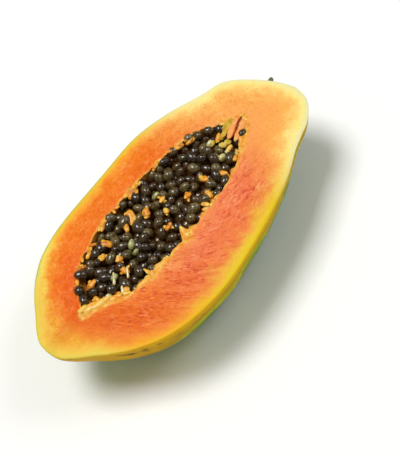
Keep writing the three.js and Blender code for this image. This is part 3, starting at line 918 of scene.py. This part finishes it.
def strand(x, y, radius, random, seed):
    """A strand: a neck that rises between the seeds to a tip of a few ragged lumps."""
    share = np.linspace(0, 1, 9)
    top = strand_top(x, y) - 0.7 * radius
    sway = lumps(stacked(share * NECK, x, y), 4, seed)
    path = stacked(x + 0.8 * sway, y + 0.5 * sway[::-1], top - NECK * (1 - share))
    width = np.interp(share, [0, 0.02, 1], [0, 1.8, radius])
    width[[0, -1]] = 0
    tone = random.uniform(-0.1, 0.12)
    parts = [(*swept(path, width, width, 8, 0.3, 1.8, seed), tone - 0.15)]
    way = random.uniform(0, pi)
    for n, (share, aside) in enumerate(((0.85, 0), (0.6, 0.8), (0.5, -0.9))):
        middle = heading(way, 0) * aside * radius + (x, y, top - 0.4 * n)
        reach = heading(way + random.normal(0, 0.6), random.uniform(-0.4, 0.4))
        reach = reach * radius * share * random.uniform(2.8, 4.2)
        parts.append(lump(middle, radius * share, reach, tone + 0.06 * n, seed + 7 * n))
    return parts


def straight(start, end, share):
    """Points at shares of the way along a straight line."""
    return np.array(start) + np.subtract(end, start) * share[:, None]


def tongue(root_x, root_y, tip_x, tip_y, width, tone, seed):
    """A flat tongue: a ribbon from the cavity's edge that rises a little, then thins to its tip."""
    share = np.linspace(0, 1, 18)
    path = straight((root_x, root_y, -1.5), (tip_x, tip_y, 0.2), share)
    path += stacked(0.0, 0.5 * np.sin(5 * share), 0.5 * np.sin(pi * share))
    widths = width * np.interp(share, [0, 0.05, 0.5, 0.9, 1], [0, 1.1, 0.9, 0.45, 0])
    heights = TONGUE_THICKNESS * np.interp(share, [0, 0.05, 0.4, 0.9, 1], [0, 2, 1, 0.6, 0])
    return (*swept(path, widths, heights, 14, 0.35, 2.5, seed), tone)


def torn_lining(finish):
    """All the strands and tongues, and lumps of lining between the seeds and the wall."""
    random = np.random.default_rng(3)
    parts = []
    for n, spec in enumerate(STRANDS):
        parts += strand(*spec, random, 60 + 30 * n)
    parts += [tongue(*spec, seed=90 + n) for n, spec in enumerate(TONGUES)]
    for patch, side, count, width in EDGE_PATCHES:
        for n in range(count):
            x = np.clip(patch + random.normal(0, 2.5), CAVITY_START + 4, CAVITY_END - 6)
            inwards = random.uniform(0, width)
            y = cavity_middle(x) + side * max(cavity_half_width(x) - inwards, 0)
            radius = random.uniform(0.9, 1.9)
            reach = heading(random.normal(0, 0.5), random.uniform(-0.3, 0.3))
            z = -1.6 - 0.4 * inwards + random.uniform(-0.6, 0.6) + 1.6 * (side > 0)
            tone = random.uniform(-0.1, 0.14) - 0.08 * (side > 0)
            parts.append(lump((x, y, z), radius, 3.8 * radius * reach, tone, 900 + len(parts)))
    for n, (middle, radius, reach) in enumerate(BLOSSOM_LINING):
        parts.append(lump(middle, radius, reach, 0.08, 1700 + n))
    return joined_piece("torn_lining", parts, finish)


def stem_flaps(finish):
    """The flaps of flesh and lining that close the cavity's stem end."""
    parts = [tongue(*spec, seed=95 + n) for n, spec in enumerate(FLAPS)]
    for n, (x, y, radius, tone) in enumerate(FLAP_LUMPS):
        reach = 2.6 * radius * heading(2.4 * n, 0.2)
        middle = (x, y, strand_top(x, y) - radius)
        parts.append(lump(middle, radius, reach, tone, 1500 + n))
    return joined_piece("stem_flaps", parts, finish)


def sprouts():
    """Narrow pale sprouts that lean between the seeds."""
    share = np.linspace(0, 1, 13)
    parts = []
    for n, (x, y, tip_x, tip_y, radius) in enumerate(SPROUTS):
        top = strand_top(x, y)
        path = straight((x, y, top - 1.5), (tip_x, tip_y, top + 0.3), share)
        width = 2 * radius * np.interp(share, [0, 0.1, 0.5, 0.9, 1], [0, 1, 0.8, 0.6, 0])
        parts.append((*swept(path, width, width, 10, 0.3, 2.0, 350 + n), 0.45))
    return parts


def unripe_seeds(finish):
    """The pale seeds: smooth, narrow eggs, with the pale sprouts."""
    random = np.random.default_rng(8)
    parts = []
    for n, (x, y, radius) in enumerate(PALE_SEEDS):
        reach = heading(random.uniform(-0.9, 0.9), random.uniform(0.1, 0.6))
        middle = (x, y, strand_top(x, y) - 0.9 * radius)
        tone = random.uniform(-0.1, 0.2)
        parts.append(lump(middle, 0.95 * radius, 2.7 * radius * reach, tone, 300 + n, height=1,
                          taper=0.25, roughness=0.12, size=2))
    return joined_piece("unripe_seeds", parts + sprouts(), finish)


# ---- The ripe seeds ----

# How far a shelf of lining, with no seeds on it, reaches in from the near edge, by x.
SHELF = {30: 6, 38: 6, 50: 4, 58: 1, 80: 0, 190: 0}
# Single seeds at both ends of the cavity, which the others lie against.
STRAY_SEEDS = [
    (176.5, 1, -2.2), (171, 14.5, -2), (39.5, 14.3, -0.8), (37, 8, -1.4), (48, 20, -0.3),
]
SEED_SIDES = 8
SEED_RINGS = 5
SEED_SCALE, SIZE_SPREAD = 1.06, 0.09
EGG_TAPER = 0.14
DENTS, DENT_SIZE = 0.07, 2.6
SEED_GAP = 50.0  # between the seeds where their dents are drawn
CONTACT = 5.9  # between the middles of two seeds that touch
SEED_REACH = (CAVITY_START + 3, CAVITY_END - 8)
PILE_DEPTH = 11  # from the heap's height down to where the lowest layer lies
PLACES = 80  # tried for each seed
GIVE_UP = 30  # tries in a row with no room left


def pile_of_seeds(random):
    """Where the seeds lie. They drop one by one: of many random places, each takes the one where
    it rests lowest, on the seeds, the core or the wall below it. The pile is full once nothing
    fits under the heap's height."""
    centres = np.array(STRAY_SEEDS, float)
    posts = np.array(STRANDS + PALE_SEEDS)
    slope = CAVITY_DEPTH / CAVITY_HALF_WIDTH
    misses = 0
    while misses < GIVE_UP:
        x = random.uniform(*SEED_REACH, PLACES)
        half = cavity_half_width(x)
        aside = random.uniform(-1, 1, PLACES) * half
        y = cavity_middle(x) + aside
        height = heap_height(x, aside / half)
        floor = -slope * np.sqrt(half**2 - aside**2) + 1
        z = np.maximum(height - PILE_DEPTH, floor)
        flat = np.hypot(x[:, None] - centres[:, 0], y[:, None] - centres[:, 1])
        climb = np.sqrt(np.maximum(CONTACT**2 - flat**2, 0))
        resting = np.where(flat < CONTACT, centres[:, 2] + climb, -np.inf).max(axis=1)
        z = np.maximum(z, resting)
        wall = half * np.sqrt(np.clip(1 - (np.minimum(z, 0) / (slope * half)) ** 2, 0, 1))
        from_post = np.hypot(x[:, None] - posts[:, 0], y[:, None] - posts[:, 1])
        clear = (from_post > posts[:, 2] * 0.75 + SEED_WIDTH * 0.36).all(axis=1)
        low = z < height - SEED_WIDTH / 2 + random.uniform(-0.8, 1.4, PLACES)
        on_shelf = aside < along_table(x, SHELF) - half
        fits = clear & low & ~on_shelf & (aside > 1.5 - wall) & (aside < wall - 0.6)
        if not fits.any():
            misses += 1
            continue
        misses = 0
        best = np.where(fits, z, np.inf).argmin()
        centres = np.concatenate([centres, [[x[best], y[best], z[best]]]])
    return centres


def turns(yaw, tilt):
    """Rotations that tilt a seed's long axis up from level, then turn it about the vertical."""
    c, s, ct, st = np.cos(yaw), np.sin(yaw), np.cos(tilt), np.sin(tilt)
    rows = [[c * ct, -s, -c * st], [s * ct, c, -s * st], [st, 0 * st, ct]]
    return np.moveaxis(np.array(rows), -1, 0)


def ripe_seeds(finish):
    """The heap of seeds. A seed is an egg: an ellipse turned round its long axis and a little
    wider towards one end. Each is flattened and dented in its own way."""
    random = np.random.default_rng(5)
    centres = pile_of_seeds(random)
    count = len(centres)
    polar = np.linspace(0, pi, SEED_RINGS + 1)[:, None]
    turn = np.linspace(0, 2 * pi, SEED_SIDES, endpoint=False)[None, :]
    radius = np.sin(polar) * (1 + EGG_TAPER * np.cos(polar)) * SEED_WIDTH / 2
    egg, faces = closed_form(stacked(-np.cos(polar) * SEED_LENGTH / 2, radius * np.cos(turn),
                                     radius * np.sin(turn)))
    size = SEED_SCALE + SIZE_SPREAD * random.uniform(-1, 1, (count, 1, 1))
    shape = random.uniform((0.98, 0.86, 0.82), (1.12, 1, 0.98), (count, 3))
    points = egg * size * shape[:, None]
    apart = points + SEED_GAP * np.arange(count)[:, None, None]
    points *= 1 + DENTS * lumps(apart, DENT_SIZE, 81)[..., None]
    rotation = turns(random.uniform(0, 2 * pi, count), random.uniform(-1.1, 1.1, count))
    points = np.einsum("nij,nkj->nki", rotation, points) + centres[:, None]
    faces = (faces[None] + (np.arange(count) * len(egg))[:, None, None]).reshape(-1, 3)
    tone = np.repeat(random.uniform(0.1, 0.85, count), len(egg))
    points = points.reshape(-1, 3)
    x, y, z = points.T
    across = (y - cavity_middle(x)) / np.maximum(cavity_half_width(x), 1)
    # How far each seed lies under the heap, which mixes it towards a warm brown: partly the pulp it
    # lies in, partly painted warm light bounced from the flesh.
    sunk = rise(3, 7.5, heap_height(x, np.clip(across, -1, 1)) - z)
    attributes = {"tone": tone, "sunk": sunk}
    piece = new_piece("ripe_seeds", points, faces, [finish], attributes=attributes)
    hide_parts("seeds")
    return piece


def seed_core(finish):
    """The seeds under the ones that show, as one boat-shaped form inside the cavity."""
    rows = even_steps(CAVITY_CURVE, 60)
    angles = np.linspace(0, pi, 17)
    hull = cavity_points(rows, angles, 1.5)
    across = np.cos(angles[::-1])[None, :]
    x, half = rows[:, 0, None], rows[:, 1, None]
    deck = stacked(x, cavity_middle(x) + across * half, heap_height(x, across) - PILE_DEPTH + 2)
    hull[..., 2] = np.minimum(hull[..., 2], deck[:, ::-1, 2] - 0.01)
    form = closed_form(np.concatenate([hull, deck], axis=1))
    return new_piece("seeds_below", *form, [finish])


def stalk_stub(finish):
    """The stub of the stalk: a tapering woody form that stands out of the skin."""
    share = np.linspace(0, 1, 16)
    path = straight((208, 9, -4.5), (218.4, 12, -1.6), share)
    widths = np.interp(share, [0, 0.05, 0.6, 0.93, 1], [0, 7, 5.4, 2.4, 0])
    form = swept(path, widths, widths * 0.7, 14, 0.35, 1.6, 400)
    return new_piece("stalk_stub", *form, [finish])


def red_split(finish):
    """A split in the flesh at the stem end of the cavity, drawn as a thin dark red form whose
    darkness is partly painted shade of the crack.
    """
    share = np.linspace(0, 1, 24)
    path = straight((185.5, 8.6, 0.3), (168.5, 3.4, 0.3), share)
    path += stacked(0.0, 0.4 * np.sin(7 * share), 0.9 * np.sin(pi * share))
    widths = 1.35 * np.sin(pi * share) ** 0.7
    form = swept(path, widths, 1.2 * widths, 10, 0.3, 2, 410)
    return new_piece("red_split", *form, [finish])


# ---- The floor, the light and the camera ----

FLOOR_WIDTH = 6.0  # metres
LIGHT_DISTANCE = 3.0  # metres

# The camera: what it looks at and how far away that is, in mm of the fruit's frame, its turns,
# and its focal length in pixels of a frame of the given height.
AIM = (116.45, -8.91, -20)
DISTANCE = 722.1
AZIMUTH, ELEVATION, ROLL = radians(-27.27), radians(56.28), radians(-26.12)
FOCAL_PIXELS = 1202.8
FRAME_HEIGHT = 457
SENSOR = 36


def white_floor():
    """A plain pale floor, large enough to fill the view."""
    mesh = bpy.data.meshes.new("floor")
    half = FLOOR_WIDTH / 2
    corners = [(-half, -half, 0), (half, -half, 0), (half, half, 0), (-half, half, 0)]
    mesh.from_pydata(corners, [], [(0, 1, 2, 3)])
    paint = new_material("matt_white_paint", Base_Color=linear("#ffffff"), Roughness=0.8)[0]
    mesh.materials.append(paint)
    new_object("floor", mesh)


def view_axes():
    """The camera's right, up and backward directions."""
    back = Vector((sin(AZIMUTH) * cos(ELEVATION),
                   -cos(AZIMUTH) * cos(ELEVATION), sin(ELEVATION)))
    level = Vector((0, 0, 1)).cross(back).normalized()
    upright = back.cross(level)
    right = cos(ROLL) * level + sin(ROLL) * upright
    return right, back.cross(right), back


def add_camera():
    """A camera that looks down on the cut face, rolled so that the stem end is up and right."""
    right, up, back = view_axes()
    data = bpy.data.cameras.new("camera")
    data.sensor_fit = "VERTICAL"
    data.sensor_height = SENSOR
    data.lens = FOCAL_PIXELS * SENSOR / FRAME_HEIGHT
    data.clip_start = 0.01
    camera = new_object("camera", data)
    turn = Matrix((right, up, back)).transposed().to_4x4()
    camera.matrix_world = Matrix.Translation(Vector(placed(AIM)) + back * DISTANCE * MM) @ turn
    bpy.context.scene.camera = camera


def add_light(name, direction, size, watts):
    """A square area light, in a direction given along the camera's right, up and back."""
    data = bpy.data.lights.new(name, "AREA")
    data.size = size
    data.energy = watts
    way = sum((axis * share for axis, share in zip(view_axes(), direction)), Vector()).normalized()
    light = new_object(name, data)
    light.location = Vector((0, 0, CUT_FACE_HEIGHT * MM)) + way * LIGHT_DISTANCE
    light.rotation_euler = way.to_track_quat("Z", "Y").to_euler()


def add_lights():
    """Soft studio light: a large box above left, a weaker one to the right, a white room."""
    add_light("key", (-0.5, 0.5, 0.7), 1.3, 66)
    add_light("fill", (0.45, 0.65, 0.6), 1.2, 19)
    world = bpy.data.worlds.new("white_room")
    world.use_nodes = True
    background = world.node_tree.nodes["Background"]
    background.inputs["Color"].default_value = linear("#fffcee")
    background.inputs["Strength"].default_value = 0.26
    bpy.context.scene.world = world
    bpy.context.scene.view_settings.view_transform = "Standard"


# ---- The whole half papaya ----

half_fruit(skin_material(), flesh_material())
torn_lining(lining_material())
stem_flaps(flap_material())
unripe_seeds(pale_seed_material())
ripe_seeds(seed_material())
seed_core(shaded_seed_material())
stalk_stub(stalk_material())
red_split(dark_slit_material())
white_floor()
add_camera()
add_lights()
